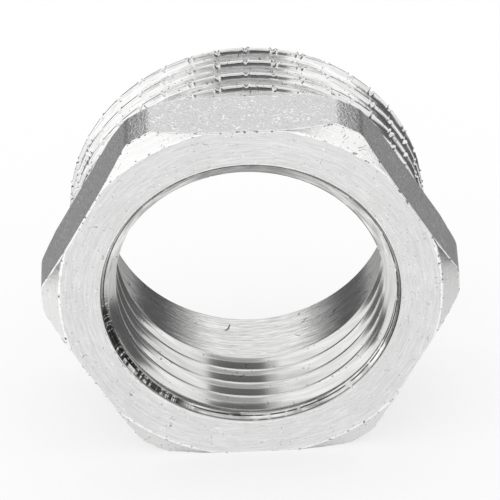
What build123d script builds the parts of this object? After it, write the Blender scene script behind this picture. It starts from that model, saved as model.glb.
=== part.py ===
from build123d import *
import math
import os

# Hex reducing bushing, 3/4 in. male by 1/2 in. female parallel pipe thread, turned in one
# piece from brass and nickel plated. It lies on one flat of its hexagon: the thread axis is
# level along Y, the hexagon faces -Y and the male thread points to +Y. The origin is under
# the middle of the piece, on the surface it lies on. All lengths are in millimetres.

# ---- overall -------------------------------------------------------------------------
length = 14.0              # hexagon face to the end of the male thread
across_flats = 27.5        # spanner size of the hexagon
corner_diameter = 30.6     # the bar's corners are turned down to this diameter
corner_blend = 1.2         # radius where a turned corner runs into a flat
hex_width = 5.2            # axial width of the hexagon

# ---- chamfers of the hexagon ---------------------------------------------------------
face_diameter = 28.0       # circle where the front chamfer starts on the face
face_slope = 25.0          # degrees from the face
shoulder_diameter = 28.8   # circle where the back chamfer starts on the shoulder
shoulder_slope = 45.0      # degrees from the shoulder

# ---- thread form, shared by both threads ---------------------------------------------
pitch = 25.4 / 14          # 14 threads to the inch
flank = 27.5               # half of the 55 degree thread angle
over = 0.5                 # a cutter runs this far past the surface that it opens
thread_over = 0.15         # a thread's cutter runs this far past the crest

# ---- male thread, 3/4 in. ------------------------------------------------------------
male_major = 26.44         # crest diameter
male_minor = 24.12         # root diameter
male_crest = 0.30          # axial width of the flat crest
male_turn = 8.0            # where the thread starts around its axis, degrees
lead_chamfer = 0.70        # axial length of the chamfer at the thread's end
lead_slope = 60.0          # degrees from the axis
undercut_width = 1.0       # run-out groove between the shoulder and the thread
undercut_clearance = 0.06  # the run-out groove is this much deeper than the thread

# ---- serrations across the male crests, which hold hemp or tape ----------------------
notch_count = 40
notch_depth = 0.22
notch_width = 0.34         # at the crest
notch_turn = 1.45          # from the top of the piece to the nearest notch, degrees

# ---- female thread, 1/2 in. ----------------------------------------------------------
female_major = 21.24       # root diameter, with the clearance that the tap leaves
female_minor = 19.70       # crest diameter
female_root = 0.20         # axial width of the groove's bottom
female_turn = 42.9         # where the thread starts around its axis, degrees
female_depth = 7.7         # how far the thread goes in from the face
relief_diameter = 21.46    # smooth bore behind the female thread
relief_edge = 0.25         # edge break of the smooth bore at the thread's end

# ---- countersink at the face ---------------------------------------------------------
countersink_diameter = 22.0
countersink_rim = 0.25     # its edge is broken at 45 degrees, this deep
countersink_slope = 27.0   # degrees from the face, inside the broken edge


def rise(degrees):
    """Rise for one unit of run at this angle."""
    return math.tan(math.radians(degrees))


# the face of the hexagon; its normal runs along the thread axis, into the piece
face = Plane(origin=(0, -length / 2, across_flats / 2), x_dir=(1, 0, 0), z_dir=(0, 1, 0))
# the half plane of the turned sections: across is radius, up is depth below the face
section = Plane(origin=face.origin, x_dir=(1, 0, 0), z_dir=(0, 0, 1))
axis = Axis(face.origin, (0, 1, 0))

corner_radius = corner_diameter / 2
male_radius = male_major / 2
male_root_radius = male_minor / 2
female_radius = female_minor / 2
female_root_radius = female_major / 2
relief_radius = relief_diameter / 2
countersink_radius = countersink_diameter / 2


def thread_groove(root, crest, bottom, turns):
    """One long groove standing on the origin along Z, to be cut from a plain cylinder.

    root and crest are radii: the root is the larger one for a female thread. The walls lie
    on the thread angle and go a little past the crest, where the turns still stay apart.
    """
    mouth = crest + thread_over * (1 if crest > root else -1)
    mouth_width = bottom + 2 * abs(mouth - root) * rise(flank)
    with BuildPart() as groove:
        with BuildLine() as path:
            Helix(pitch=pitch, height=turns * pitch, radius=root)
        with BuildSketch(Plane.XZ):
            with BuildLine():
                Polyline(
                    (root, -bottom / 2),
                    (mouth, -mouth_width / 2),
                    (mouth, mouth_width / 2),
                    (root, bottom / 2),
                    close=True,
                )
            make_face()
        sweep(path=path.line, is_frenet=True)
    return groove.part


# ---- the male groove, trimmed to the shoulder so that it runs out in the undercut ---------
male_bottom = pitch - male_crest - 2 * (male_radius - male_root_radius) * rise(flank)
male_turns = math.ceil(length / pitch) + 2
with BuildPart() as male_groove:
    with Locations(face.offset(-pitch).location * Rotation(0, 0, male_turn)):
        add(thread_groove(male_root_radius, male_radius, male_bottom, male_turns))
    with BuildSketch(face.offset(hex_width)):
        Circle(corner_radius)
    extrude(amount=length + pitch, mode=Mode.INTERSECT)

# ---- the female groove, from outside the face to inside the smooth bore -------------------
female_turns = math.ceil(female_depth / pitch) + 2
with BuildPart() as female_groove:
    with Locations(face.offset(-pitch).location * Rotation(0, 0, female_turn)):
        add(thread_groove(female_root_radius, female_radius, female_root, female_turns))
    with BuildSketch(face.offset(-2 * pitch)):
        Circle(relief_radius)
    extrude(amount=2 * pitch + female_depth + pitch / 2, mode=Mode.INTERSECT)

with BuildPart() as bushing:
    # hexagon bar with turned corners
    with BuildSketch(face) as bar:
        RegularPolygon(radius=across_flats / 2, side_count=6, major_radius=False)
        Circle(corner_radius, mode=Mode.INTERSECT)
        fillet(bar.vertices(), radius=corner_blend)
    extrude(amount=hex_width)

    # both ends of the hexagon are chamfered by turning, so their edges curve on the flats
    face_fall = (corner_radius + over - face_diameter / 2) * rise(face_slope)
    shoulder_fall = (corner_radius + over - shoulder_diameter / 2) * rise(shoulder_slope)
    with BuildSketch(section):
        with BuildLine():
            Polyline(
                (0, 0),
                (face_diameter / 2, 0),
                (corner_radius + over, face_fall),
                (corner_radius + over, hex_width - shoulder_fall),
                (shoulder_diameter / 2, hex_width),
                (0, hex_width),
                close=True,
            )
        make_face()
    revolve(axis=axis, mode=Mode.INTERSECT)

    # barrel for the male thread, with its run-out groove and lead chamfer
    undercut_radius = male_root_radius - undercut_clearance
    undercut_end = hex_width + undercut_width
    with BuildSketch(section):
        with BuildLine():
            Polyline(
                (0, hex_width),
                (undercut_radius, hex_width),
                (undercut_radius, undercut_end),
                (male_radius, undercut_end + (male_radius - undercut_radius) * rise(flank)),
                (male_radius, length - lead_chamfer),
                (male_radius - lead_chamfer * rise(lead_slope), length),
                (0, length),
                close=True,
            )
        make_face()
    revolve(axis=axis)

    print("solid blank", round(bushing.part.volume, 1), "mm3")

    # the thread grooves, the female one while the piece is still solid
    add(male_groove.part, mode=Mode.SUBTRACT)
    print("male thread cut", round(bushing.part.volume, 1), "mm3", bushing.part.is_valid)
    add(female_groove.part, mode=Mode.SUBTRACT)
    print("female groove cut", round(bushing.part.volume, 1), "mm3", bushing.part.is_valid)

    # countersink and crest of the female thread, right through the piece
    rim_radius = countersink_radius - countersink_rim
    countersink_depth = countersink_rim + (rim_radius - female_radius) * rise(countersink_slope)
    with BuildSketch(section):
        with BuildLine():
            Polyline(
                (0, -over),
                (countersink_radius + over, -over),
                (rim_radius, countersink_rim),
                (female_radius, countersink_depth),
                (female_radius, length + over),
                (0, length + over),
                close=True,
            )
        make_face()
    revolve(axis=axis, mode=Mode.SUBTRACT)
    print("bored", round(bushing.part.volume, 1), "mm3", bushing.part.is_valid)

    # smooth bore behind the female thread, with its edge broken at the end of the piece
    with BuildSketch(section):
        with BuildLine():
            Polyline(
                (0, female_depth),
                (relief_radius, female_depth),
                (relief_radius, length - relief_edge),
                (relief_radius + relief_edge, length),
                (relief_radius + relief_edge, length + over),
                (0, length + over),
                close=True,
            )
        make_face()
    revolve(axis=axis, mode=Mode.SUBTRACT)
    print("smooth bore cut", round(bushing.part.volume, 1), "mm3", bushing.part.is_valid)

    # serrations: one straight cut across all the male crests, repeated round the barrel
    notch_flare = notch_width / 2 * (1 + over / notch_depth)
    with BuildSketch(face.offset(hex_width)):
        with PolarLocations(male_radius, notch_count, start_angle=notch_turn - 90):
            Polygon(
                (-notch_depth, 0),
                (over, -notch_flare),
                (over, notch_flare),
                align=None,
            )
    extrude(amount=length - hex_width + over, mode=Mode.SUBTRACT)
    print("serrated", round(bushing.part.volume, 1), "mm3", bushing.part.is_valid)

os.makedirs("parts", exist_ok=True)
bushing.part.label = "hex_bushing"
export_step(bushing.part, "parts/hex_bushing.step")
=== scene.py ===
# %% [markdown]
# # A nickel-plated hex reducing bushing
# A plumber screws this bushing into a port with its outer pipe thread, and screws a smaller
# pipe into its inner one. It is turned from hexagonal brass bar, threaded and plated.
# The CAD model gives the exact frame. Here the same piece gets the finish of the real one:
# broken edges, small burrs, cutting marks and the soft satin of its flats.

# %% The frame
import math

import bmesh
import bpy
import numpy as np
from mathutils import Matrix, Vector


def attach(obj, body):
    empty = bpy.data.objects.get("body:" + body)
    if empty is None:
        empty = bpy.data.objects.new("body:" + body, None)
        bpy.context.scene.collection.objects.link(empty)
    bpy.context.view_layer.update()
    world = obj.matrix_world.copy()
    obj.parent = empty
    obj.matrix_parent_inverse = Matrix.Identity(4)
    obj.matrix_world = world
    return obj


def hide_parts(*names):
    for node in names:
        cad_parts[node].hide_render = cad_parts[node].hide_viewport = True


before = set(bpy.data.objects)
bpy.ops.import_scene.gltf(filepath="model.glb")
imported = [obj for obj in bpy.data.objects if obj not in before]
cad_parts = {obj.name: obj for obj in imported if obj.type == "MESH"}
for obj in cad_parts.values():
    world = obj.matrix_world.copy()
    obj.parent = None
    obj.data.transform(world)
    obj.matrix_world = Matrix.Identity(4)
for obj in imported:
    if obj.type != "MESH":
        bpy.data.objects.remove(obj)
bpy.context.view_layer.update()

# %% [markdown]
# ## Sizes
# All sizes are in millimetres. They agree with the CAD source but for two, named below: the
# groove of the inner thread, as a tap really leaves it, and the rim of the countersink.
# A point on the piece is given by its depth from the hexagon's face, its radius and its
# angle round the bore. That suits a turned piece: nearly every surface is one line of radius
# against depth, carried round.

# %% Sizes of the piece
LENGTH = 14.0
FLAT_RADIUS = 27.5 / 2
AXIS_HEIGHT = FLAT_RADIUS  # it lies on one flat
HEX_WIDTH = 5.2
UNDERCUT_RADIUS = 12.0
UNDERCUT_END = HEX_WIDTH + 1.0
COUNTERSINK_RADIUS = 11.0
print("length", LENGTH, "mm, hexagon", HEX_WIDTH, "mm wide and", 2 * FLAT_RADIUS, "mm across flats")

# %% [markdown]
# ## A skin of rings
# The piece is built as one closed skin. Each stretch of the section is a grid of rings by
# angles, and the stretches are sewn together along their end rings. They differ in how many
# angles they need: the hexagon wants them at its corners, the outer thread at each notch.

# %% Skin helpers
TURN = 2 * math.pi
FINISHES = ["turned", "flat", "edge", "thread", "tapped", "bore", "countersink"]
points, faces, finishes = [], [], []


def add_face(corners, finish):
    """Add one face, without the corners that fall together."""
    ring = [int(c) for n, c in enumerate(corners) if c != corners[n - 1]]
    if len(set(ring)) > 2:
        faces.append(ring)
        finishes.append(FINISHES.index(finish))


def add_rings(angles, depths, radii, finish, climb=0):
    """Lay rings as rows and angles as columns. A helix climbs this many rows in a turn."""
    rows, columns = depths.shape
    grid = len(points) + np.arange(rows * columns).reshape(rows, columns)
    for k in range(rows):
        points.extend(zip(depths[k], radii[k], angles))
        if k:
            # a row held at the same place as the one before shares its points
            same = (depths[k] == depths[k - 1]) & (radii[k] == radii[k - 1])
            grid[k][same] = grid[k - 1][same]
    for j in range(columns):
        i, up = (j + 1, 0) if j + 1 < columns else (0, climb)
        for k in range(max(0, -up), min(rows - 1, rows - 1 - up)):
            add_face([grid[k][j], grid[k][i] if up == 0 else grid[k + up][i],
                      grid[k + up + 1][i], grid[k + 1][j]], finish)
    return grid


def sew(ring_a, angles_a, ring_b, angles_b, finish):
    """Join two rings of different counts with triangles, always by the shorter step."""
    a = b = 0
    ends_a = np.append(angles_a[1:], TURN + angles_a[0])
    ends_b = np.append(angles_b[1:], TURN + angles_b[0])
    while a < len(ring_a) or b < len(ring_b):
        here_a, here_b = ring_a[a % len(ring_a)], ring_b[b % len(ring_b)]
        if b == len(ring_b) or (a < len(ring_a) and ends_a[a] <= ends_b[b]):
            add_face([here_a, ring_a[(a + 1) % len(ring_a)], here_b], finish)
            a += 1
        else:
            add_face([here_a, ring_b[(b + 1) % len(ring_b)], here_b], finish)
            b += 1


print("finishes:", FINISHES)

# %% [markdown]
# ## The hexagon
# The bar's six corners are turned down to a cylinder, and each turned corner runs into its
# flats through a small radius. The distance from the axis to the outside is then a short
# formula of the angle. The chamfer of the face is a flat cone, so it cuts the flats in
# shallow curves that dip at the corners.

# %% The outline of the hexagon
CORNER_RADIUS = 15.3
CORNER_BLEND = 1.2
SIXTH = 60  # degrees from flat to flat, so the corner lies in the middle of them
FLAT_STEP = 2.0
CORNER_STEP = 0.5
CORNER_START = 22  # from here on the steps are the fine ones


def outline_radius(angle):
    """Distance from the axis to the outside of the hexagon, at this angle."""
    off = abs(angle % (TURN / 6) - TURN / 12)
    across, out = FLAT_RADIUS - CORNER_BLEND, CORNER_RADIUS - CORNER_BLEND
    along = math.sqrt(out * out - across * across)
    corner = math.atan2(along, across)
    if off <= math.atan2(along, FLAT_RADIUS):
        return FLAT_RADIUS / math.cos(off)
    if off >= corner:
        return CORNER_RADIUS
    turned = off - corner
    return out * math.cos(turned) + math.sqrt(CORNER_BLEND ** 2 - (out * math.sin(turned)) ** 2)


coarse = np.arange(0, CORNER_START, FLAT_STEP)
fine = np.arange(CORNER_START, SIXTH / 2, CORNER_STEP)
half = np.concatenate([coarse, fine])
sixth = np.unique(np.concatenate([half, SIXTH - half, [SIXTH / 2]]))[:-1]
all_sixths = np.concatenate([(sixth + SIXTH / 2 + SIXTH * n) % 360 for n in range(6)])
hex_angles = np.radians(np.sort(all_sixths))
outline = np.array([outline_radius(t) for t in hex_angles])
print(len(hex_angles), "angles, radius", round(outline.min(), 2), "to", round(outline.max(), 2), "mm")

# %% [markdown]
# Sharp corners never survive deburring, so every corner of the section becomes a short arc.
# That arc is what catches the light as a thin bright line along an edge. It is broken by
# hand and by tumbling, so its width wanders from one degree to the next.

# %% Broken edges
FACE_RADIUS = 14.0
FACE_SLOPE = math.tan(math.radians(25))
SHOULDER_RADIUS = 14.4
EDGE_BREAK = 0.07
SCORE_REACH = 0.3  # the countersink's rim and its scored ring are a stretch of their own
UNDERCUT_SEAM = 0.3  # the outer thread starts this far past the hexagon's last ring


def soften(corners, arcs):
    """Round the inner corners of an open line of (depth, radius) points.

    Arcs holds two numbers for each of them: how far the arc reaches and its steps.
    """
    line = [corners[0]]
    for before, corner, after, (reach, parts) in zip(corners, corners[1:], corners[2:], arcs):
        back, ahead = np.subtract(before, corner), np.subtract(after, corner)
        cut = min(reach, 0.45 * np.linalg.norm(back), 0.45 * np.linalg.norm(ahead))
        start = corner + back * cut / np.linalg.norm(back)
        end = corner + ahead * cut / np.linalg.norm(ahead)
        for t in np.linspace(0, 1, parts + 1):
            line.append((1 - t) ** 2 * start + 2 * t * (1 - t) * np.array(corner) + t * t * end)
    line.append(corners[-1])
    return np.array(line)


def hexagon_section(out, edge):
    """The section from the face to the run-out groove, where the outline has this radius."""
    front = max((out - FACE_RADIUS) * FACE_SLOPE, EDGE_BREAK)
    back = HEX_WIDTH - max(out - SHOULDER_RADIUS, EDGE_BREAK)
    return soften([
        (0.0, COUNTERSINK_RADIUS + SCORE_REACH),
        (0.0, min(FACE_RADIUS, out - EDGE_BREAK)),
        (front, out),
        (back, out),
        (HEX_WIDTH, min(SHOULDER_RADIUS, out - EDGE_BREAK)),
        (HEX_WIDTH, UNDERCUT_RADIUS),
        (UNDERCUT_END - UNDERCUT_SEAM, UNDERCUT_RADIUS),
    ], [(edge, 2)] * 4 + [(edge, 1)])


rng = np.random.default_rng(7)
edge_widths = EDGE_BREAK * rng.uniform(0.4, 1.9, len(hex_angles))
sections = [hexagon_section(out, edge) for out, edge in zip(outline, edge_widths)]
hex_depths, hex_radii = np.array(sections).transpose(2, 1, 0)
hex_grids = []
for low, high, finish in [
    (0, 1, "turned"), (1, 3, "edge"), (3, 4, "turned"), (4, 6, "edge"), (6, 7, "flat"),
    (7, 9, "edge"), (9, 10, "turned"), (10, 12, "edge"), (12, len(hex_depths) - 1, "turned"),
]:
    rings = slice(low, high + 1)
    hex_grids.append(add_rings(hex_angles, hex_depths[rings], hex_radii[rings], finish))
print("hexagon of", len(faces), "faces, section of", len(hex_depths), "points")

# %% [markdown]
# ## The threads
# A pipe thread is one groove of 55 degrees wound round as a screw. Its section is given once,
# for one pitch. Every column of the grid repeats that section, and slides it along by its
# share of the pitch, so the grid's rows run along the groove like the cutter did. Where the
# thread meets a chamfer or a countersink, the surface that leaves less metal wins.

# %% One pitch of a thread
PITCH = 25.4 / 14
FLANK = math.tan(math.radians(27.5))
FLANK_TOP = 0.28  # a flank bends this far below its crest
FLANK_HOLLOW = 0.012  # and is hollow by this much there


def thread_section(root_radius, crest_radius, root_width, crest_width, foot, top, arcs):
    """One pitch of thread, from the middle of its groove.

    Foot and top move the lower and the upper end of its front flank towards the groove.
    """
    outward = 1 if crest_radius > root_radius else -1
    near_crest = crest_radius - outward * FLANK_TOP
    beside = crest_width / 2 + FLANK_TOP * FLANK - FLANK_HOLLOW
    return soften([
        (0.0, root_radius),
        (root_width / 2 - foot, root_radius),
        (PITCH / 2 - beside - top, near_crest),
        (PITCH / 2 - crest_width / 2, crest_radius),
        (PITCH / 2 + crest_width / 2, crest_radius),
        (PITCH / 2 + beside, near_crest),
        (PITCH - root_width / 2, root_radius),
        (PITCH, root_radius),
    ], arcs)[:-1]


print("pitch", round(PITCH, 3), "mm")

# %% [markdown]
# Blender's Screw modifier would wind the section too, but it can't end a thread in a chamfer.
# Here the rows are worked out as numbers first. The row that passes nearest to an edge of the
# envelope, the turned shape that holds the thread, moves onto that edge, so the edge is sharp
# and true all the way round.

# %% The rows of a screw
MOUTH_DEPTH = 1.35
MOUTH_FADE = 0.3
HALVINGS = 24  # of a step between two rows, to find where the surfaces cross


def screw(angles, section, clean, start_turn, first, last, envelope, pick, edge):
    """Depths and radii of a screw's rows between two depths, held by a turned envelope.

    The clean section holds in the thread's mouth, and fades into the other one below it.
    """
    groove = -PITCH * start_turn / TURN
    groove += PITCH * (math.floor((first - groove) / PITCH) - 1)
    turns = math.ceil((last - groove) / PITCH) + 2
    rows = np.concatenate([groove + PITCH * n + section[:, 0] for n in range(turns)])
    depths = np.clip(rows[:, None] - PITCH * angles[None, :] / TURN, first, last)
    closed, clean_closed = [np.vstack([line, (PITCH, line[0, 1])]).T for line in (section, clean)]
    # the envelope's own edge gets the row that passes nearest to it
    depths[np.argmin(np.abs(depths - edge), axis=0), np.arange(len(angles))] = edge

    def thread(depth, angle):
        phase = (depth + PITCH * angle / TURN - groove) % PITCH
        past = np.clip((depth - MOUTH_DEPTH) / MOUTH_FADE, 0, 1)
        return past * np.interp(phase, *closed) + (1 - past) * np.interp(phase, *clean_closed)

    # where the thread meets the envelope, the nearest row moves onto that edge
    over = thread(depths, angles[None, :]) > envelope(depths)
    k, j = np.nonzero((over[1:] != over[:-1]) & (depths[1:] - depths[:-1] > 1e-9))
    low, high = depths[k, j].copy(), depths[k + 1, j].copy()
    for _ in range(HALVINGS):
        half = (low + high) / 2
        same = (thread(half, angles[j]) > envelope(half)) == over[k, j]
        low, high = np.where(same, half, low), np.where(same, high, half)
    nearer = np.where(half - depths[k, j] < depths[k + 1, j] - half, k, k + 1)
    free = (depths[nearer, j] > first) & (depths[nearer, j] < last)
    depths[nearer[free], j[free]] = half[free]
    return depths, pick(thread(depths, angles[None, :]), envelope(depths))


print("clean mouth down to", MOUTH_DEPTH, "mm, gone by", round(MOUTH_DEPTH + MOUTH_FADE, 2), "mm")

# %% [markdown]
# ## The notches
# Forty shallow cuts across the crests hold the hemp or tape that seals the joint. The wheel
# that presses them in pushes a little metal up on both sides. Those burrs are bright points
# along each crest, and no two are quite alike. Cutting notches out of a finished mesh would
# leave ragged faces, so the thread gets its angles where the notches will be, and its points
# are then moved down into them.

# %% Outer thread
MALE_CREST_RADIUS = 13.22
MALE_ROOT_RADIUS = 12.06
MALE_CREST_WIDTH = 0.30
MALE_TURN = math.radians(8)
ROLLED_TOP = 0.09  # just under its crest, the front flank bulges this far into the groove
LEAD_DEPTH = LENGTH - 0.70
LEAD_SLOPE = math.tan(math.radians(60))
NOTCH_COUNT = 40
NOTCH_TURN = math.radians(1.45)
MALE_HEIGHT = MALE_CREST_RADIUS - MALE_ROOT_RADIUS


def male_envelope(depth):
    """The run-out groove's end and the lead chamfer hold the thread down."""
    lead = MALE_CREST_RADIUS - np.maximum(depth - LEAD_DEPTH, 0) * LEAD_SLOPE
    return np.minimum(UNDERCUT_RADIUS + (depth - UNDERCUT_END) / FLANK, lead)


male_groove_width = PITCH - MALE_CREST_WIDTH - 2 * MALE_HEIGHT * FLANK
male_section = thread_section(
    MALE_ROOT_RADIUS, MALE_CREST_RADIUS, male_groove_width, MALE_CREST_WIDTH, 0, ROLLED_TOP,
    [(0.05, 1), (0.1, 1), (0.1, 3), (0.12, 2), (0.1, 1), (0.15, 1)])
notch_middles = math.radians(90) - NOTCH_TURN + TURN / NOTCH_COUNT * np.arange(NOTCH_COUNT)
beside_notch = np.array([0.4, 0.74, 1.05, 1.3, 1.6, 2.1, 3.2])
around_notch = np.radians(np.concatenate([-beside_notch[::-1], [0.0], beside_notch, [4.5]]))
male_angles = np.sort((notch_middles[:, None] + around_notch[None, :]).ravel() % TURN)
depths, radii = screw(
    male_angles, male_section, male_section, MALE_TURN, UNDERCUT_END, LENGTH, male_envelope,
    np.minimum, LEAD_DEPTH)
print("outer thread:", len(male_angles), "angles,", len(depths), "rows")

# %% Notches and burrs
NOTCH_WIDTH = 0.34
SHALLOW_NOTCH, NOTCH_DEPTH = 0.08, 0.22
BURR_HEIGHT = 0.14
BURR_MIDDLE, BURR_WIDTH = 0.05, 0.07  # from the notch's edge, across the crest
BURR_REACH = 0.16  # a burr fades out this far below the crest
CREST_COUNT = 16  # more crests than the thread has at any angle

off_notch = (male_angles[:, None] - notch_middles[None, :] + TURN / 2) % TURN - TURN / 2
nearest = np.argmin(np.abs(off_notch), axis=1)
off_notch = MALE_CREST_RADIUS * off_notch[np.arange(len(male_angles)), nearest]

# each cut has its own depth, and a burr of its own height stands on either side of it
turn_number = np.round((depths + PITCH * male_angles[None, :] / TURN) / PITCH)
crest_number = turn_number.astype(int) % CREST_COUNT
cut_depths = rng.uniform(SHALLOW_NOTCH, NOTCH_DEPTH, (NOTCH_COUNT, CREST_COUNT))
burr_heights = rng.uniform(0.0, BURR_HEIGHT, (2, NOTCH_COUNT, CREST_COUNT))
cut = cut_depths[nearest[None, :], crest_number]
burr = burr_heights[(off_notch > 0).astype(int)[None, :], nearest[None, :], crest_number]
floor = MALE_CREST_RADIUS - cut * (1 - np.abs(off_notch)[None, :] / (NOTCH_WIDTH / 2))
beside = np.exp(-((np.abs(off_notch) - NOTCH_WIDTH / 2 - BURR_MIDDLE) / BURR_WIDTH) ** 2)
near_crest = np.clip((radii - MALE_CREST_RADIUS + BURR_REACH) / BURR_REACH, 0, 1)
inside = (depths > UNDERCUT_END) & (depths < LENGTH)
radii = np.where(inside, np.minimum(radii, floor) + burr * beside[None, :] * near_crest, radii)
male_grid = add_rings(male_angles, depths, radii, "thread", climb=-len(male_section))
print(NOTCH_COUNT, "notches on each crest,", len(faces), "faces so far")

# %% [markdown]
# ## The inner thread
# The smaller pipe screws in here. A tap presses as it cuts, so its grooves come out wider
# than they should be and only a narrow crest is left between them. Their front flank leans at
# its foot. The groove is widened about its middle, and the thread slides along the bore by
# the shift below, so that the crests lie where the tap left them. A countersink opens the
# mouth, and its rim is broken. Its tool chattered on one side and tore the rim there.

# %% Inner thread and countersink
FEMALE_CREST_RADIUS = 9.85
FEMALE_ROOT_RADIUS = 10.62
TAP_SCRAPE = 0.54  # how much wider than in the CAD source the groove is
TAP_FOOT = 0.10  # the foot of the front flank reaches this far into the groove
TAP_SHIFT = 0.35  # along the bore
FEMALE_ROOT_WIDTH = 0.20 + TAP_SCRAPE
FEMALE_TURN = math.radians(42.9) - TAP_SHIFT / PITCH * TURN
FEMALE_DEPTH = 7.7
COUNTERSINK_RIM = 0.36  # its depth, 0.11 more than in the CAD source
RIM_WIDTH = 0.25
COUNTERSINK_SLOPE = math.tan(math.radians(27))
CHATTER_SIDE = math.radians(212)
CHATTER_SPREAD = math.radians(24)
CHATTER_DEPTH = 0.03
BORE_STEPS = 450
FEMALE_HEIGHT = FEMALE_ROOT_RADIUS - FEMALE_CREST_RADIUS
bore_angles = TURN / BORE_STEPS * np.arange(BORE_STEPS)


def countersink(depth):
    """The broken rim and the cone open the thread's mouth."""
    broken = COUNTERSINK_RADIUS - depth * RIM_WIDTH / COUNTERSINK_RIM
    cone = COUNTERSINK_RADIUS - RIM_WIDTH - (depth - COUNTERSINK_RIM) / COUNTERSINK_SLOPE
    return np.where(depth < COUNTERSINK_RIM, broken, cone)


female_crest_width = PITCH - FEMALE_ROOT_WIDTH - 2 * FEMALE_HEIGHT * FLANK
female_sizes = (FEMALE_ROOT_RADIUS, FEMALE_CREST_RADIUS, FEMALE_ROOT_WIDTH, female_crest_width)
female_section = thread_section(
    *female_sizes, TAP_FOOT, 0, [(0.12, 3), (0.1, 2), (0.02, 1), (0.07, 2), (0, 0), (0.36, 2)])
female_clean = thread_section(
    *female_sizes, 0, 0, [(0.1, 2), (0, 0), (0.02, 1), (0.07, 2), (0, 0), (0.36, 2)])
depths, radii = screw(
    bore_angles, female_section, female_clean, FEMALE_TURN, 0.0, FEMALE_DEPTH, countersink,
    np.maximum, COUNTERSINK_RIM)
off_chatter = (bore_angles - CHATTER_SIDE + TURN / 2) % TURN - TURN / 2
chatter = np.exp(-(off_chatter / CHATTER_SPREAD) ** 2)
torn = rng.uniform(0, 1, BORE_STEPS) * (0.12 + 0.88 * chatter) * CHATTER_DEPTH
at_rim = (depths < 1.2 * COUNTERSINK_RIM) & (radii < COUNTERSINK_RADIUS)
radii = radii + np.where(at_rim, torn[None, :], 0)
female_grid = add_rings(bore_angles, depths, radii, "tapped", climb=-len(female_section))
print("inner crests", round(female_crest_width, 2), "mm wide,", len(faces), "faces so far")

# %% [markdown]
# ## Smooth bore and scored face
# Behind the thread the bore is opened a little, so that the tap runs out into clear space.
# Round the countersink's rim, the tool's collar scored a fine ring into the face, here deeper
# and there hardly at all. Both are plain rings on the inner thread's own angles.

# %% Smooth bore and scored ring
RELIEF_RADIUS = 10.73
RELIEF_EDGE = 0.25
RELIEF_STEP, RELIEF_RISE = 0.04, 0.02  # the last ring of the thread runs out over this step
END_RING = 0.1  # a narrow ring of the end face, which is sewn to the outer thread
SCORE_DEPTH = 0.05

end_line = soften([
    (FEMALE_DEPTH, RELIEF_RADIUS - RELIEF_STEP),
    (FEMALE_DEPTH + RELIEF_RISE, RELIEF_RADIUS),
    (LENGTH - RELIEF_EDGE, RELIEF_RADIUS),
    (LENGTH, RELIEF_RADIUS + RELIEF_EDGE),
    (LENGTH, RELIEF_RADIUS + RELIEF_EDGE + END_RING),
], [(EDGE_BREAK, 2)] * 3)
end_depths, end_radii = (np.repeat(end_line[:, n:n + 1], BORE_STEPS, 1) for n in (0, 1))
end_grid = add_rings(bore_angles, end_depths, end_radii, "bore")

score = rng.uniform(0.1, 1.0, BORE_STEPS) * (0.45 + 0.55 * chatter)
score_depths = np.array([0, 0, 1, 0, 0])[:, None] * SCORE_DEPTH * score[None, :]
score_radii = COUNTERSINK_RADIUS + np.array([0.24, 0.15, 0.10, 0.05, 0.02])
score_rings = np.repeat(score_radii[:, None], BORE_STEPS, 1)
score_grid = add_rings(bore_angles, score_depths, score_rings, "turned")
print("bore and ring done,", len(faces), "faces so far")

# %% [markdown]
# ## One closed skin
# The stretches now meet in pairs of rings that differ only in their angles. A strip of
# triangles joins each pair, which no eye can find again on a flat face or in a groove.

# %% Sewing the stretches together
sew(hex_grids[0][0], hex_angles, score_grid[0], bore_angles, "turned")
sew(score_grid[-1], bore_angles, female_grid[0], bore_angles, "turned")
sew(hex_grids[-1][-1], hex_angles, male_grid[0], male_angles, "turned")
sew(end_grid[0], bore_angles, female_grid[-1], bore_angles, "bore")
sew(end_grid[-1], bore_angles, male_grid[-1], male_angles, "turned")
print(len(faces), "faces")

# %% [markdown]
# The skin becomes one mesh. Points leave the turned terms for Blender's own, in metres: the
# axis runs along Y at the height at which the piece lies. The cone and the rim are part of
# the inner thread's grid, so their faces are picked out by place and get their own finish.

# %% The bushing as one mesh
depth_of, radius_of, angle_of = np.array(points).T
xyz = np.column_stack([
    radius_of * np.cos(angle_of),
    depth_of - LENGTH / 2,
    radius_of * np.sin(angle_of) + AXIS_HEIGHT,
]) / 1000
used, renumbered = np.unique(np.concatenate(faces), return_inverse=True)
face_ends = np.cumsum([len(face) for face in faces])[:-1]
face_corners = [part.tolist() for part in np.split(renumbered, face_ends)]
skin = bpy.data.meshes.new("hex_bushing_skin")
skin.from_pydata(xyz[used].tolist(), [], face_corners)
skin.polygons.foreach_set("material_index", finishes)

# the faces of the cone and the rim, whose middles may lie a little outside the true cone
SINK_SLACK = 0.02
cone_width = COUNTERSINK_RADIUS - RIM_WIDTH - FEMALE_CREST_RADIUS
sink_depth = COUNTERSINK_RIM + cone_width * COUNTERSINK_SLOPE
for face in skin.polygons:
    deep = 1000 * face.center.y + LENGTH / 2
    out = math.hypot(1000 * face.center.x, 1000 * face.center.z - AXIS_HEIGHT)
    if deep < sink_depth and out < COUNTERSINK_RADIUS and out < countersink(deep) + SINK_SLACK:
        face.material_index = FINISHES.index("countersink")
triangles = sum(len(face) - 2 for face in faces)
print("vertices", len(skin.vertices), "faces", len(skin.polygons), "triangles", triangles)

# %% [markdown]
# Rings that two stretches share lie on the same places, so merging the doubles closes the
# skin. A closed skin knows its own outside, and Blender turns all faces to it. An edge with
# one face would be a hole, so the count of open edges has to be 0.

# %% Closing the skin
MERGE_DISTANCE = 2e-7

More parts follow.
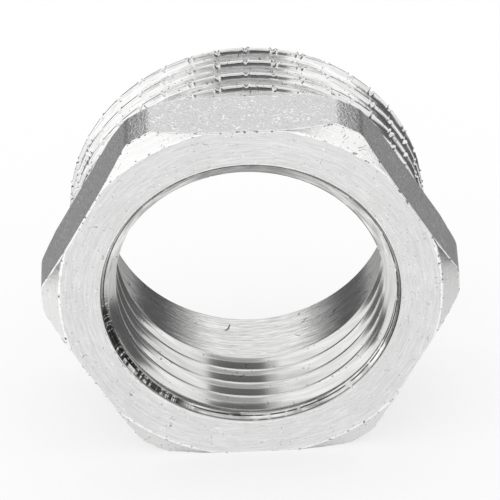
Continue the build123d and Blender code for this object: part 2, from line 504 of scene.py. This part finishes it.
shell = bmesh.new()
shell.from_mesh(skin)
bmesh.ops.remove_doubles(shell, verts=shell.verts, dist=MERGE_DISTANCE)
bmesh.ops.recalc_face_normals(shell, faces=shell.faces)
open_edges = sum(1 for e in shell.edges if len(e.link_faces) != 2)
print("open edges", open_edges, "volume", round(shell.calc_volume() * 1e9, 1), "mm3")
shell.to_mesh(skin)
shell.free()
skin.shade_smooth()
bushing = bpy.data.objects.new("plated_bushing", skin)
bpy.context.scene.collection.objects.link(bushing)

# %% [markdown]
# ## Shading by area
# Smooth shading blends the directions of the faces round a corner. In a plain average, the
# sliver of a broken edge tilts a wide flat as much as the flat tilts the sliver, and polished
# metal shows that as dark lines. Weighted by area, flats stay flat right up to their edges.
# Blender has a modifier for this, but on faces as small as these it falls back on the plain
# average. So the average is taken here, over the faces that meet at less than 50 degrees.

# %% Faces round each corner
SMOOTH_LIMIT = math.cos(math.radians(50))

corners = np.empty(len(skin.loops), int)
skin.loops.foreach_get("vertex_index", corners)
sizes = np.empty(len(skin.polygons), int)
skin.polygons.foreach_get("loop_total", sizes)
areas = np.empty(len(skin.polygons))
skin.polygons.foreach_get("area", areas)
facing = np.empty(3 * len(skin.polygons))
skin.polygons.foreach_get("normal", facing)
owner = np.repeat(np.arange(len(sizes)), sizes)
facing = facing.reshape(-1, 3)[owner]
weighted = facing * areas[owner][:, None]
order = np.argsort(corners, kind="stable")
first = np.searchsorted(corners[order], corners[order], side="left")
end = np.searchsorted(corners[order], corners[order], side="right")
most = (end - first).max()
print("up to", most, "faces meet at a point")

# %% Weighted average
normals = np.zeros_like(facing)
for step in range(most):
    shared = first + step < end
    here, other = order[shared], order[(first + step)[shared]]
    smooth = (facing[here] * facing[other]).sum(1) > SMOOTH_LIMIT
    normals[here[smooth]] += weighted[other[smooth]]
normals /= np.linalg.norm(normals, axis=1)[:, None]
skin.normals_split_custom_set(normals.tolist())
print("normals set at", len(normals), "face corners")

# %% [markdown]
# ## Finishes
# Nickel plating over brass is a slightly warm silver. It is thin, so it shows every mark
# that the tools left in the brass: rings on the turned face, satin on the drawn flats.

# %% Colour and node helpers


def linear(hex_colour):
    """An sRGB hex colour as the linear numbers that shaders want."""
    parts = [int(hex_colour[n:n + 2], 16) / 255 for n in (1, 3, 5)]
    return [c / 12.92 if c <= 0.04045 else ((c + 0.055) / 1.055) ** 2.4 for c in parts] + [1.0]


def add_node(tree, kind, settings=None, links=None):
    """Add a node; settings are its properties or input values, links its inputs' sources."""
    node = tree.nodes.new(kind)
    for name, value in (settings or {}).items():
        if hasattr(node, str(name)):
            setattr(node, name, value)
        else:
            node.inputs[name].default_value = value
    for name, source in (links or {}).items():
        tree.links.new(source, node.inputs[name])
    return node


def new_material(name):
    """A material of this name with no nodes yet, and its node tree."""
    material = bpy.data.materials.new(name)
    material.use_nodes = True
    material.node_tree.nodes.clear()
    return material, material.node_tree


# grey of scratches and specks, also used for the painted shade along the countersink's edges
SCRATCH_AND_EDGE_SHADE = linear("#8E8E8C")
print("scratched nickel, linear", [round(c, 3) for c in SCRATCH_AND_EDGE_SHADE])

# %% [markdown]
# ## Where a mark lies
# A lathe's marks follow the part round its axis, so their patterns are laid out in the same
# terms as the mesh: the direction from the axis, and a distance across the marks. Radius and
# depth added together give that distance on the face, in the bore and on every cone. Noise
# that is stretched round the axis then reads as the strokes of a cutting tool.

# %% Places in millimetres


def in_millimetres(tree):
    """Place on the piece, from the middle of the hexagon's face."""
    metres = add_node(tree, "ShaderNodeTexCoord").outputs["Object"]
    return add_node(tree, "ShaderNodeVectorMath", {
        "operation": "MULTIPLY_ADD", 1: (1000, 1000, 1000), 2: (0, LENGTH / 2, -AXIS_HEIGHT),
    }, {0: metres}).outputs[0]


def turned_places(tree):
    """In millimetres: place, direction from the axis, distance across the marks, radius."""
    place = in_millimetres(tree)
    flat = add_node(tree, "ShaderNodeVectorMath", {"operation": "MULTIPLY", 1: (1, 0, 1)}, {0: place})
    radius = add_node(tree, "ShaderNodeVectorMath", {"operation": "LENGTH"}, {0: flat.outputs[0]})
    toward = add_node(tree, "ShaderNodeVectorMath", {"operation": "NORMALIZE"}, {0: flat.outputs[0]})
    depth = add_node(tree, "ShaderNodeSeparateXYZ", links={0: place})
    across = add_node(tree, "ShaderNodeMath", {"operation": "ADD"}, {
        0: radius.outputs["Value"], 1: depth.outputs[1]})
    return place, toward.outputs[0], across.outputs[0], radius.outputs["Value"]


print("places from the face's middle, which lies", AXIS_HEIGHT, "mm up")

# %% [markdown]
# At a scale of 1, the blobs of Blender's noise are about one unit apart. Each pattern below
# takes its size in millimetres and works out the scale from it, so a finish can be tuned with
# a ruler: by how long its strokes are and how far apart they lie.

# %% Patterns in millimetres
STROKE_RADIUS = 12  # where a stroke has its stated length
GRAIN_SHARE = 0.6  # of that unit, which one blob takes up


def strokes(tree, toward, across, length, spacing):
    """Cutting marks round the axis, of this length and spacing."""
    row = add_node(tree, "ShaderNodeMath", {"operation": "DIVIDE", 1: spacing}, {0: across})
    lift = add_node(tree, "ShaderNodeCombineXYZ", links={1: row.outputs[0]})
    round_axis = STROKE_RADIUS / length
    spot = add_node(tree, "ShaderNodeVectorMath", {
        "operation": "MULTIPLY_ADD", 1: (round_axis, round_axis, round_axis),
    }, {0: toward, 2: lift.outputs[0]})
    return add_node(tree, "ShaderNodeTexNoise", {"Scale": 1.0, "Detail": 2.0, "Roughness": 0.6}, {
        "Vector": spot.outputs[0]}).outputs[0]


def grains(tree, place, size, detail=1.0):
    """Blobs of about this size, in millimetres."""
    return add_node(tree, "ShaderNodeTexNoise", {
        "Scale": GRAIN_SHARE / size, "Detail": detail}, {"Vector": place}).outputs[0]


def between(tree, pattern, low, high, start, end):
    """Stretch the part of a pattern from low to high over the values from start to end."""
    return add_node(tree, "ShaderNodeMapRange", {
        "From Min": low, "From Max": high, "To Min": start, "To Max": end}, {"Value": pattern}).outputs[0]


def line_at(tree, value, middle, width, gaps, start, end):
    """A mask of one line where a value is near its middle, broken up by a pattern of gaps."""
    off = add_node(tree, "ShaderNodeMath", {"operation": "SUBTRACT", 1: middle}, {0: value})
    near = add_node(tree, "ShaderNodeMath", {"operation": "ABSOLUTE"}, {0: off.outputs[0]})
    line = between(tree, near.outputs[0], width * 0.5, width, 1.0, 0.0)
    kept = between(tree, gaps, start, end, 0.0, 1.0)
    return add_node(tree, "ShaderNodeMath", {"operation": "MULTIPLY"}, {0: line, 1: kept}).outputs[0]


print("strokes are measured at", STROKE_RADIUS, "mm from the axis")

# %% Layers of colour, and bare metal
METALLIC = 1.0


def blend(tree, share, under, over):
    """Lay one colour over another; each is a colour or a socket."""
    given = {6: under, 7: over}
    return add_node(tree, "ShaderNodeMix", {
        "data_type": "RGBA", **{n: c for n, c in given.items() if isinstance(c, list)}}, {
        0: share, **{n: c for n, c in given.items() if not isinstance(c, list)}}).outputs[2]


def plated(name, tree, colour, roughness, relief, height):
    """Finish a material as bare metal with this relief, whose full height is in millimetres."""
    bump = add_node(tree, "ShaderNodeBump", {"Strength": 1.0, "Distance": height / 1000}, {"Height": relief})
    metal = add_node(tree, "ShaderNodeBsdfPrincipled", {"Metallic": METALLIC}, {
        "Base Color": colour, "Roughness": roughness, "Normal": bump.outputs[0]})
    add_node(tree, "ShaderNodeOutputMaterial", links={"Surface": metal.outputs[0]})
    print(name, "with", len(tree.nodes), "nodes")


print("all finishes are", METALLIC, "metallic")

# %% [markdown]
# ## Nickel-plated brass, turned
# The face and chamfers were cut on a lathe. The tool leaves short arcs, a sixth of a
# millimetre apart, which show as faint strokes of light and dark. Tumbling with other pieces
# adds pinpricks and a few hair scratches. A thin line where a noise passes through its middle
# value makes a good hair scratch, and a second noise leaves only a few of them.

# %% Turned finish
NICKEL_DARK = linear("#D2D2D2")
NICKEL_BRIGHT = linear("#EEEEEE")


def hair_scratches(tree, place, size, width, share):
    """A mask of thin wandering lines on a share of the surface."""
    line = add_node(tree, "ShaderNodeMath", {"operation": "SUBTRACT", 1: 0.5}, {0: grains(tree, place, size)})
    off = add_node(tree, "ShaderNodeMath", {"operation": "ABSOLUTE"}, {0: line.outputs[0]})
    thin = between(tree, off.outputs[0], width / size * 0.15, width / size * 0.3, 1.0, 0.0)
    some = between(tree, grains(tree, place, size * 0.8, 0.0), 1 - share, 1.05 - share, 0.0, 1.0)
    return add_node(tree, "ShaderNodeMath", {"operation": "MULTIPLY"}, {0: thin, 1: some}).outputs[0]


turned, tree = new_material("nickel_plated_brass_turned")
place, toward, across, radius = turned_places(tree)
short = strokes(tree, toward, across, 1.1, 0.16)
long = strokes(tree, toward, across, 7.0, 0.14)
both = add_node(tree, "ShaderNodeMath", {"operation": "MULTIPLY_ADD", 1: 0.5}, {0: long, 2: short}).outputs[0]
tone = blend(tree, between(tree, both, 0.45, 1.05, 0.0, 1.0), NICKEL_DARK, NICKEL_BRIGHT)
cloud = between(tree, grains(tree, place, 1.6), 0.35, 0.65, 0.0, 0.35)
tone = blend(tree, cloud, tone, linear("#D6D6D5"))
on_chamfer = between(tree, radius, 13.98, 14.05, 0.0, 0.6)
tone = blend(tree, on_chamfer, tone, linear("#F8F8F7"))
pricks = grains(tree, place, 0.14)
tone = blend(tree, between(tree, pricks, 0.67, 0.73, 0.0, 0.6), tone, linear("#FFFFFF"))
tone = blend(tree, between(tree, pricks, 0.31, 0.26, 0.0, 0.6), tone, SCRATCH_AND_EDGE_SHADE)
hairs = hair_scratches(tree, place, 0.55, 0.02, 0.33)
tone = blend(tree, hairs, tone, linear("#A6A6A5"))
rough = between(tree, both, 0.5, 1.0, 0.24, 0.17)
relief = add_node(tree, "ShaderNodeMath", {"operation": "MULTIPLY_ADD", 1: 0.9}, {0: pricks, 2: both})
plated("turned", tree, tone, rough, relief.outputs[0], 0.004)

# %% [markdown]
# ## Nickel-plated brass, drawn and tumbled
# The flats are the skin of the drawn bar, so they carry no rings. Pickling and tumbling leave
# them with a fine grain, a ninth of a millimetre across. Where a flat faces one even light
# it looks smooth; near a corner the grains turn light and dark, like frost.

# %% Flats of the hexagon
flats, tree = new_material("nickel_plated_brass_drawn_flats")
place = in_millimetres(tree)
grain = grains(tree, place, 0.115, 2.0)
calm = between(tree, grains(tree, place, 0.7), 0.35, 0.6, 1.0, 0.35)
white = add_node(tree, "ShaderNodeMath", {"operation": "MULTIPLY"}, {
    0: between(tree, grain, 0.54, 0.66, 0.0, 1.0), 1: calm})
tone = blend(tree, white.outputs[0], linear("#D2D2D2"), linear("#FFFFFF"))
tone = blend(tree, between(tree, grains(tree, place, 0.15), 0.33, 0.27, 0.0, 0.7), tone, SCRATCH_AND_EDGE_SHADE)
rough = between(tree, grain, 0.4, 0.7, 0.26, 0.18)
plated("flats", tree, tone, rough, grain, 0.06)

# %% [markdown]
# ## Edges
# Every edge of the hexagon is a strip of its own. Handling has burnished it, and here and
# there it carries a ding, so it reads as a thin bright line with dark points in it.

# %% Worn edges
edges, tree = new_material("nickel_plated_brass_worn_edges")
place = in_millimetres(tree)
dings = grains(tree, place, 0.22, 2.0)
tone = blend(tree, between(tree, dings, 0.34, 0.42, 0.0, 1.0), linear("#7C7C7B"), linear("#FFFFFF"))
rough = between(tree, dings, 0.4, 0.6, 0.5, 0.34)
plated("edges", tree, tone, rough, dings, 0.03)

# %% [markdown]
# ## Nickel-plated brass, threaded
# A thread is cut in several passes, so its flanks are polished bands with hairlines along
# them. Some hairlines catch the light for a few millimetres and end.

# %% Threads
threads, tree = new_material("nickel_plated_brass_threaded")
place, toward, across, _ = turned_places(tree)
long = strokes(tree, toward, across, 4.0, 0.14)
short = strokes(tree, toward, across, 1.0, 0.14)
both = add_node(tree, "ShaderNodeMath", {"operation": "MULTIPLY_ADD", 1: 0.7}, {0: long, 2: short}).outputs[0]
tone = blend(tree, between(tree, both, 0.6, 1.1, 0.0, 1.0), linear("#D8D8D7"), linear("#FAFAFA"))
tone = blend(tree, between(tree, grains(tree, place, 0.15), 0.31, 0.27, 0.0, 0.9), tone, SCRATCH_AND_EDGE_SHADE)
rough = between(tree, both, 0.5, 1.1, 0.13, 0.07)
plated("threads", tree, tone, rough, both, 0.005)

# %% [markdown]
# ## Nickel-plated brass, tapped
# The inner thread was cut by a tap, which presses on the metal as it cuts. Its flanks come out
# smoother but duller than the outer ones, with a few torn specks.

# %% Tapped thread
tapped, tree = new_material("nickel_plated_brass_tapped")
place, toward, across, _ = turned_places(tree)
fine = strokes(tree, toward, across, 5.0, 0.13)
tone = blend(tree, between(tree, fine, 0.3, 0.7, 0.0, 1.0), linear("#CACAC9"), linear("#E6E6E5"))
tone = blend(tree, between(tree, grains(tree, place, 0.15), 0.29, 0.25, 0.0, 0.8), tone, SCRATCH_AND_EDGE_SHADE)
rough = between(tree, fine, 0.3, 0.7, 0.18, 0.12)
plated("tapped", tree, tone, rough, fine, 0.004)

# %% [markdown]
# ## Nickel-plated brass, bored
# The smooth bore was opened with one pass of a boring bar. Its streaks run round and blur
# what the metal mirrors, so a dark patch ends in a comb of lines. Chips have dragged here and
# there, and have left a crooked scratch.

# %% Bore
bored, tree = new_material("nickel_plated_brass_bored")
place, toward, across, _ = turned_places(tree)
long = strokes(tree, toward, across, 6.0, 0.14)
short = strokes(tree, toward, across, 1.2, 0.12)
both = add_node(tree, "ShaderNodeMath", {"operation": "MULTIPLY_ADD", 1: 0.8}, {0: long, 2: short}).outputs[0]
tone = blend(tree, between(tree, both, 0.65, 1.15, 0.0, 1.0), linear("#BCBCBB"), linear("#F4F4F3"))
hairs = hair_scratches(tree, place, 1.0, 0.05, 0.33)
tone = blend(tree, hairs, tone, linear("#6E6E6C"))
rough = between(tree, both, 0.5, 1.2, 0.17, 0.09)
plated("bore", tree, tone, rough, both, 0.012)

# %% [markdown]
# ## Nickel-plated brass, countersunk
# A countersinking tool with few teeth chatters. On one side it left a comb of small ridges
# across its cut, with a dull grey in them, and elsewhere it cut clean. The side is chosen by
# the direction from the axis.

# %% Countersink
sunk, tree = new_material("nickel_plated_brass_countersunk")
place, toward, across, radius = turned_places(tree)
fine = strokes(tree, toward, across, 2.0, 0.12)
teeth = strokes(tree, toward, across, 0.17, 0.22)
aim = (math.cos(CHATTER_SIDE), 0, math.sin(CHATTER_SIDE))
aimed = add_node(tree, "ShaderNodeVectorMath", {"operation": "DOT_PRODUCT", 1: aim}, {0: toward})
on_rim = between(tree, radius, 10.35, 10.66, 0.12, 1.0)
on_side = between(tree, aimed.outputs["Value"], 0.82, 0.90, 0.0, 1.0)
torn = add_node(tree, "ShaderNodeMath", {"operation": "MULTIPLY"}, {0: on_side, 1: on_rim}).outputs[0]
tear = between(tree, torn, 0.0, 1.0, 0.1, 1.0)
ridge = add_node(tree, "ShaderNodeMath", {"operation": "MULTIPLY"}, {0: teeth, 1: tear})
tone = blend(tree, between(tree, fine, 0.35, 0.65, 0.0, 1.0), linear("#C2C2C1"), linear("#F6F6F5"))
dull = between(tree, teeth, 0.60, 0.53, 0.0, 1.0)
dull = add_node(tree, "ShaderNodeMath", {"operation": "MULTIPLY"}, {0: dull, 1: torn})
tone = blend(tree, dull.outputs[0], tone, linear("#3C3C3B"))
# painted shade: fine dark lines, broken by gaps, at the rim's outer edge, at its inner edge and at the cone's
# foot
for middle, width, colour in [
    (10.97, 0.06, SCRATCH_AND_EDGE_SHADE),
    (10.74, 0.05, linear("#4A4A49")),
    (9.9, 0.05, SCRATCH_AND_EDGE_SHADE),
]:
    line = line_at(tree, radius, middle, width, grains(tree, place, 0.4), 0.30, 0.40)
    tone = blend(tree, line, tone, colour)
rough = between(tree, fine, 0.3, 0.7, 0.22, 0.14)
relief = add_node(tree, "ShaderNodeMath", {"operation": "MULTIPLY_ADD", 1: 5.0}, {
    0: ridge.outputs[0], 2: fine})
plated("countersink", tree, tone, rough, relief.outputs[0], 0.008)

# %% [markdown]
# ## Dressing the bushing
# Each face already holds the number of its finish, so the materials are added in the order
# of that list. The finished skin then takes the place of the plain CAD node and moves with
# the same body.

# %% Dressing the bushing
for material in (turned, flats, edges, threads, tapped, bored, sunk):
    skin.materials.append(material)
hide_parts("hex_bushing")
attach(bushing, "root")
print(len(skin.materials), "finishes on the bushing")

# %% [markdown]
# ## The table
# The bushing lies on a white lacquered table that runs far back under even light. Some glow
# that only the camera sees keeps its white clear of grey. The metal doesn't mirror the table:
# what it mirrors low down is given with the rest of the studio, so that it can be tuned.

# %% Table
HALF_TABLE = 2  # metres
table_mesh = bpy.data.meshes.new("table")
table_corners = [(x * HALF_TABLE, y * HALF_TABLE, 0) for x, y in ((-1, -1), (1, -1), (1, 1), (-1, 1))]
table_mesh.from_pydata(table_corners, [], [(0, 1, 2, 3)])
table = bpy.data.objects.new("table", table_mesh)
bpy.context.scene.collection.objects.link(table)
lacquer, tree = new_material("white_lacquered_table")
white = add_node(tree, "ShaderNodeBsdfDiffuse", {"Color": linear("#FFFFFF")})
glow = add_node(tree, "ShaderNodeEmission", {"Color": linear("#FFFFFF"), "Strength": 1.0})
path = add_node(tree, "ShaderNodeLightPath")
share = add_node(tree, "ShaderNodeMath", {"operation": "MULTIPLY", 1: 0.6}, {
    0: path.outputs["Is Camera Ray"]})
surface = add_node(tree, "ShaderNodeMixShader", links={
    0: share.outputs[0], 1: white.outputs[0], 2: glow.outputs[0]})
add_node(tree, "ShaderNodeOutputMaterial", links={"Surface": surface.outputs[0]})
table_mesh.materials.append(lacquer)
table.visible_glossy = False
print("table of", 2 * HALF_TABLE, "by", 2 * HALF_TABLE, "m")

# %% [markdown]
# ## The studio
# Polished metal has no colour of its own to speak of: it shows what stands round it. So the
# studio has soft boxes for the bright bands and dark cards for the dark ones. Each is a patch
# of the world that only mirror rays see, given by its height over the horizon and its bearing
# from the camera's side, in degrees. Lamps would light the piece too and add highlights of
# their own, while a card changes one band at a time.

# %% Directions in the studio
CAMERA_RISE = math.sin(math.radians(31.4))
world = bpy.data.worlds.new("studio")
bpy.context.scene.world = world
world.use_nodes = True
tree = world.node_tree
tree.nodes.clear()
where = add_node(tree, "ShaderNodeTexCoord").outputs["Generated"]
part = add_node(tree, "ShaderNodeSeparateXYZ", links={0: where})
front = add_node(tree, "ShaderNodeMath", {"operation": "MULTIPLY", 1: -1.0}, {0: part.outputs[1]})
bearing = add_node(tree, "ShaderNodeMath", {"operation": "ARCTAN2"}, {
    0: part.outputs[0], 1: front.outputs[0]})
height = add_node(tree, "ShaderNodeMath", {"operation": "ARCSINE"}, {0: part.outputs[2]})
# the flanks of a thread mirror directions that fan out from a point as far below the horizon
# as the camera is above it
above = add_node(tree, "ShaderNodeMath", {"operation": "ADD", 1: CAMERA_RISE}, {0: part.outputs[2]})
fan = add_node(tree, "ShaderNodeMath", {"operation": "ARCTAN2"}, {0: part.outputs[0], 1: above.outputs[0]})
print("fan spreads from a height of", round(-CAMERA_RISE, 3))

# %% Cards and soft boxes


def add_card(light, level, edge, limits):
    """Lay a card or soft box over what the metal sees, with soft edges, all in degrees."""
    cover = None
    for source, (low, high) in limits:
        for start, end in ((low - edge, low + edge), (high + edge, high - edge)):
            side = add_node(tree, "ShaderNodeMapRange", {
                "interpolation_type": "SMOOTHSTEP", "From Min": math.radians(min(start, end)),
                "From Max": math.radians(max(start, end)),
                "To Min": float(start > end), "To Max": float(start < end)}, {"Value": source.outputs[0]})
            cover = side if cover is None else add_node(tree, "ShaderNodeMath", {"operation": "MULTIPLY"}, {
                0: cover.outputs[0], 1: side.outputs[0]})
    return add_node(tree, "ShaderNodeMix", {"data_type": "FLOAT", 3: level}, {
        0: cover.outputs[0], 2: light.outputs[0]})


light = add_node(tree, "ShaderNodeValue")
light.outputs[0].default_value = 1.0
for level, edge, heights, bearings in [
    # table in front, with a bright strip across it
    (0.93, 3, (-60, -31), (-60, 45)),
    (1.18, 4, (-28, -14), (-40, 30)),
    # table right under the piece, ceiling, and the piece's own shade
    (0.80, 2, (-95, -58), (-190, 190)),
    (0.72, 3, (66, 95), (-190, 190)),
    (0.42, 2, (-95, -78), (-190, 190)),
    # grey and dark cards behind the piece, on both sides
    (0.40, 2, (-30, 4), (105, 170)),
    (0.42, 2, (-30, 4), (-170, -125)),
    (0.12, 2, (-8, 15), (120, 161)),
    (0.14, 2, (-8, 15), (-161, -125)),
    (0.42, 2, (13, 22), (120, 161)),
    (0.42, 2, (13, 22), (-161, -125)),
    # soft boxes at the left, in front on the left and in front on the right, with dark cards
    (1.20, 2, (-2, 40), (-130, -78)),
    (1.16, 2, (-14, 30), (-60, -16)),
    (0.12, 2, (-24, -5), (-56, -42)),
    (1.10, 2, (-4, 28), (9, 36)),
    (0.74, 3, (-46, -24), (40, 80)),
    (0.12, 2, (-25, -8), (36, 80)),
    (0.12, 2, (-10, 8), (37, 62)),
]:
    light = add_card(light, level, edge, [(height, heights), (bearing, bearings)])
# the gap in front spreads like a fan, so that it ends alike on every turn of the thread
for level, heights, spread in [
    (0.40, (45, 54.5), (-75, 75)),
    (0.42, (12, 26), (-7.2, 17)),
    (0.62, (26, 45), (-12, 11)),
    (0.15, (31, 45), (-7.2, 17)),
    (0.04, (45, 54), (-6.8, 12)),
]:
    light = add_card(light, level, 1, [(height, heights), (fan, spread), (bearing, (-95, 95))])
path = add_node(tree, "ShaderNodeLightPath")
seen = add_node(tree, "ShaderNodeMix", {"data_type": "FLOAT", 2: 1.0}, {
    0: path.outputs["Is Glossy Ray"], 3: light.outputs[0]})
sky = add_node(tree, "ShaderNodeBackground", {"Color": linear("#FFFFFF")}, {"Strength": seen.outputs[0]})
add_node(tree, "ShaderNodeOutputWorld", links={"Surface": sky.outputs[0]})
print("world of", len(tree.nodes), "nodes")

# %% [markdown]
# ## The camera
# A long lens looks down on the face from some way off, so that the far end of a small piece
# is hardly smaller than the near one. The camera is set by how it is turned and by where it
# sees the middle of the hexagon's face. Its place follows from these.

# %% Camera
YAW, FALL, ROLL = math.radians(-0.184), math.radians(31.44), math.radians(-2.568)
FACE_IN_VIEW = (0.0525, -3.2455, 445.122)  # to the right, up and ahead, in millimetres
SENSOR_WIDTH = 36
FOCAL_PIXELS, VIEW_PIXELS = 6099.516, 500  # how long the lens is for a view of this width

forward = Vector((math.sin(YAW) * math.cos(FALL), math.cos(YAW) * math.cos(FALL), -math.sin(FALL)))
level = Vector((math.cos(YAW), -math.sin(YAW), 0))
upright = level.cross(forward)
right = math.cos(ROLL) * level + math.sin(ROLL) * upright
up = -math.sin(ROLL) * level + math.cos(ROLL) * upright
middle = Vector(FACE_IN_VIEW) / 1000
to_face = right * middle.x + up * middle.y + forward * middle.z
place = Vector((0, -LENGTH / 2, AXIS_HEIGHT)) / 1000 - to_face
camera_data = bpy.data.cameras.new("camera")
camera_data.sensor_width = SENSOR_WIDTH
camera_data.lens = SENSOR_WIDTH * FOCAL_PIXELS / VIEW_PIXELS
camera = bpy.data.objects.new("camera", camera_data)
camera.matrix_world = Matrix.Translation(place) @ Matrix((right, up, -forward)).transposed().to_4x4()
bpy.context.scene.collection.objects.link(camera)
bpy.context.scene.camera = camera
bpy.context.scene.view_settings.view_transform = "Standard"
print("camera at, mm:", [round(1000 * c, 1) for c in place])
